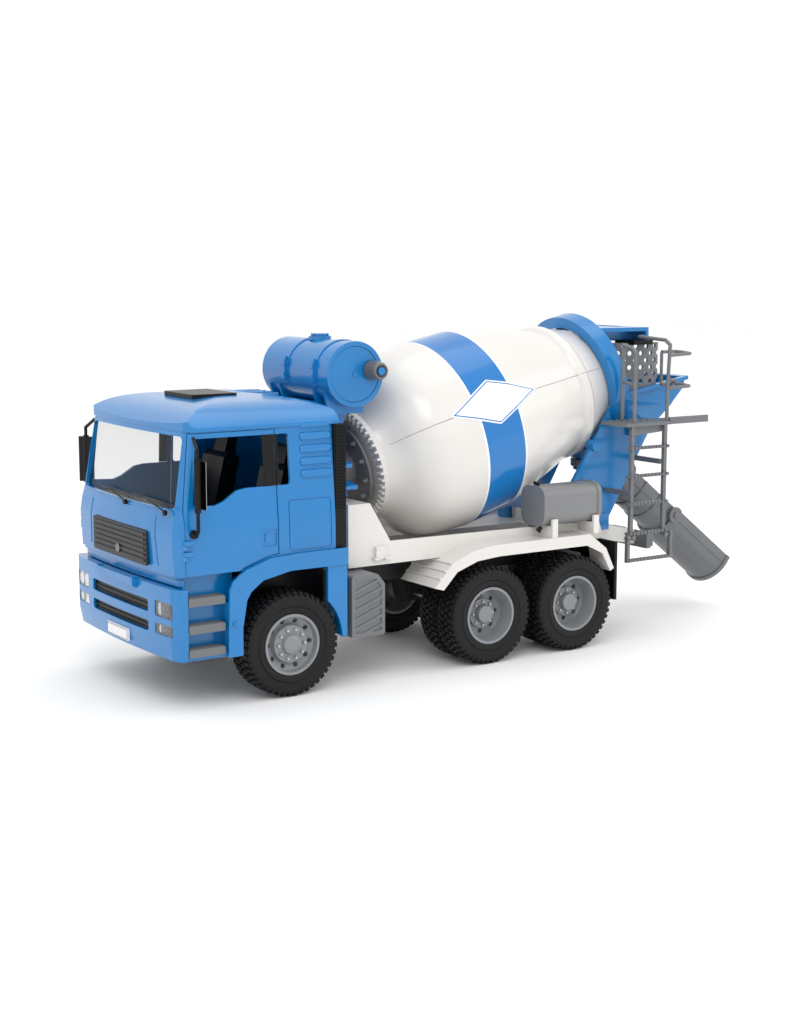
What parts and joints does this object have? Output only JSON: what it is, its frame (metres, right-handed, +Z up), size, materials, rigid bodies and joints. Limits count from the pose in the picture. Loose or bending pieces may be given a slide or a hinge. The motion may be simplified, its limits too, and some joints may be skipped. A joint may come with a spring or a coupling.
{
  "type": "toy concrete mixer lorry",
  "caption": "Toy concrete mixer lorry with a turning drum, tipping cab, opening doors, water tank crank, folding ladder and a swivelling chute.",
  "frame": {"origin": "on the ground under the middle of the toy's overall box", "axes": "+X towards the chute end, nose at -X; +Y to the toy's right-hand side; +Z up"},
  "size_m": [0.6198, 0.2088, 0.2776],
  "materials": {
    "blue_plastic": "glossy moulded ABS, cab and mixer frame",
    "band_blue": "blue band round the drum",
    "white_plastic": "warm white drum shells",
    "grey_plastic": "mid grey moulded plastic",
    "silver_plastic": "silver grey rims",
    "black_plastic": "fine grained black plastic",
    "clear_plastic": "clear glazing with a slight tint",
    "lamp_plastic": "clear headlamp lenses",
    "tyre_rubber": "soft black tyre plastic",
    "steel": "bright steel pins"
  },
  "bodies": {
    "chassis": {"chassis_frame": "black_plastic", "engine_block": "grey_plastic", "front_bumper": "blue_plastic", "headlamps": "lamp_plastic", "step_treads": "grey_plastic", "wheel_arch_left": "blue_plastic", "wheel_arch_right": "blue_plastic", "battery_box_left": "grey_plastic", "battery_box_right": "grey_plastic", "mixer_bed": "white_plastic", "rear_fender_left": "white_plastic", "rear_fender_right": "white_plastic", "mudflaps": "black_plastic", "gearbox": "grey_plastic", "drum_tower": "blue_plastic", "water_tank": "blue_plastic", "tank_end_cap": "blue_plastic", "rear_frame": "blue_plastic", "hopper": "blue_plastic", "hopper_guard": "grey_plastic", "hopper_hood": "blue_plastic", "platform": "grey_plastic", "platform_rails": "grey_plastic", "ladder_upper": "grey_plastic", "additive_tank": "grey_plastic", "rear_light_bar": "grey_plastic"},
    "cab": {"cab_shell": "blue_plastic", "windscreen": "clear_plastic", "roof_hatch": "black_plastic", "grille": "black_plastic", "cab_interior": "grey_plastic", "steering_wheel": "black_plastic", "intake_columns": "black_plastic"},
    "left_door": {"door_left": "blue_plastic", "mirror_arm_left": "black_plastic"},
    "right_door": {"door_right": "blue_plastic", "mirror_arm_right": "black_plastic"},
    "left_mirror": {"mirror_head_left": "black_plastic"},
    "right_mirror": {"mirror_head_right": "black_plastic"},
    "front_wheels": {"front_axle": "steel", "front_rims": "silver_plastic", "front_tyres": "tyre_rubber"},
    "middle_wheels": {"middle_axle": "steel", "middle_rims": "silver_plastic", "middle_tyres": "tyre_rubber"},
    "rear_wheels": {"rear_axle": "steel", "rear_rims": "silver_plastic", "rear_tyres": "tyre_rubber"},
    "drum": {"drum_shell_lower": "white_plastic", "drum_shell_upper": "white_plastic", "drum_band": "band_blue", "crown_gear": "white_plastic", "mixing_fins": "white_plastic"},
    "tower_shaft": {"drive_shaft": "grey_plastic"},
    "crank": {"crank_disc": "blue_plastic"},
    "knob": {"crank_knob": "black_plastic"},
    "chute_turntable": {"chute_yoke": "black_plastic"},
    "chute": {"chute_upper": "black_plastic"},
    "chute_end": {"chute_lower": "black_plastic"},
    "ladder_foot": {"ladder_lower": "grey_plastic"}
  },
  "joints": [
    {"name": "front_spin", "type": "hinge", "parent": "chassis", "child": "front_wheels", "pos_m": [-0.2075, 0, 0.04], "axis": [0, 1, 0], "continuous": true},
    {"name": "middle_spin", "type": "hinge", "parent": "chassis", "child": "middle_wheels", "pos_m": [-0.0233, 0, 0.04], "axis": [0, 1, 0], "continuous": true},
    {"name": "rear_spin", "type": "hinge", "parent": "chassis", "child": "rear_wheels", "pos_m": [0.0643, 0, 0.04], "axis": [0, 1, 0], "continuous": true},
    {"name": "cab_tilt", "type": "hinge", "parent": "chassis", "child": "cab", "pos_m": [-0.2955, 0, 0.095], "axis": [0, -1, 0], "range_deg": [0, 40]},
    {"name": "left_door_swing", "type": "hinge", "parent": "cab", "child": "left_door", "pos_m": [-0.2948, -0.093, 0.12], "axis": [0, 0, -1], "range_deg": [0, 70]},
    {"name": "right_door_swing", "type": "hinge", "parent": "cab", "child": "right_door", "pos_m": [-0.2948, 0.093, 0.12], "axis": [0, 0, 1], "range_deg": [0, 70]},
    {"name": "left_mirror_turn", "type": "hinge", "parent": "left_door", "child": "left_mirror", "pos_m": [-0.2875, -0.0985, 0.165], "axis": [0, 0, 1], "range_deg": [-50, 50]},
    {"name": "right_mirror_turn", "type": "hinge", "parent": "right_door", "child": "right_mirror", "pos_m": [-0.2875, 0.0985, 0.165], "axis": [0, 0, 1], "range_deg": [-50, 50]},
    {"name": "drum_spin", "type": "hinge", "parent": "chassis", "child": "drum", "pos_m": [-0.0795, 0, 0.16328], "axis": [0.9712, 0, 0.2384], "continuous": true},
    {"name": "tower_spin", "type": "hinge", "parent": "chassis", "child": "tower_shaft", "pos_m": [-0.10679, 0, 0.15658], "axis": [-0.2384, 0, 0.9712], "continuous": true},
    {"name": "crank_spin", "type": "hinge", "parent": "chassis", "child": "crank", "pos_m": [-0.12631, 0, 0.23612], "axis": [0, 1, 0], "continuous": true},
    {"name": "knob_spin", "type": "hinge", "parent": "crank", "child": "knob", "pos_m": [-0.11131, 0, 0.23872], "axis": [0, 1, 0], "continuous": true},
    {"name": "chute_swivel", "type": "hinge", "parent": "chassis", "child": "chute_turntable", "pos_m": [0.1665, 0, 0.144], "axis": [0, 0, 1], "range_deg": [-50, 50]},
    {"name": "chute_tilt", "type": "hinge", "parent": "chute_turntable", "child": "chute", "pos_m": [0.1841, 0, 0.1335], "axis": [0, -1, 0], "range_deg": [-8, 15]},
    {"name": "chute_fold", "type": "hinge", "parent": "chute", "child": "chute_end", "pos_m": [0.23963, 0, 0.09089], "axis": [0, -1, 0], "range_deg": [0, 120]},
    {"name": "ladder_fold", "type": "hinge", "parent": "chassis", "child": "ladder_foot", "pos_m": [0.1475, -0.0884, 0.089], "axis": [-1, 0, 0], "range_deg": [0, 165]}
  ],
  "couplings": [
    {"joint": "tower_spin", "follows": "drum_spin", "ratio": -5.3333},
    {"joint": "crank_spin", "follows": "drum_spin", "ratio": 1.7778}
  ]
}
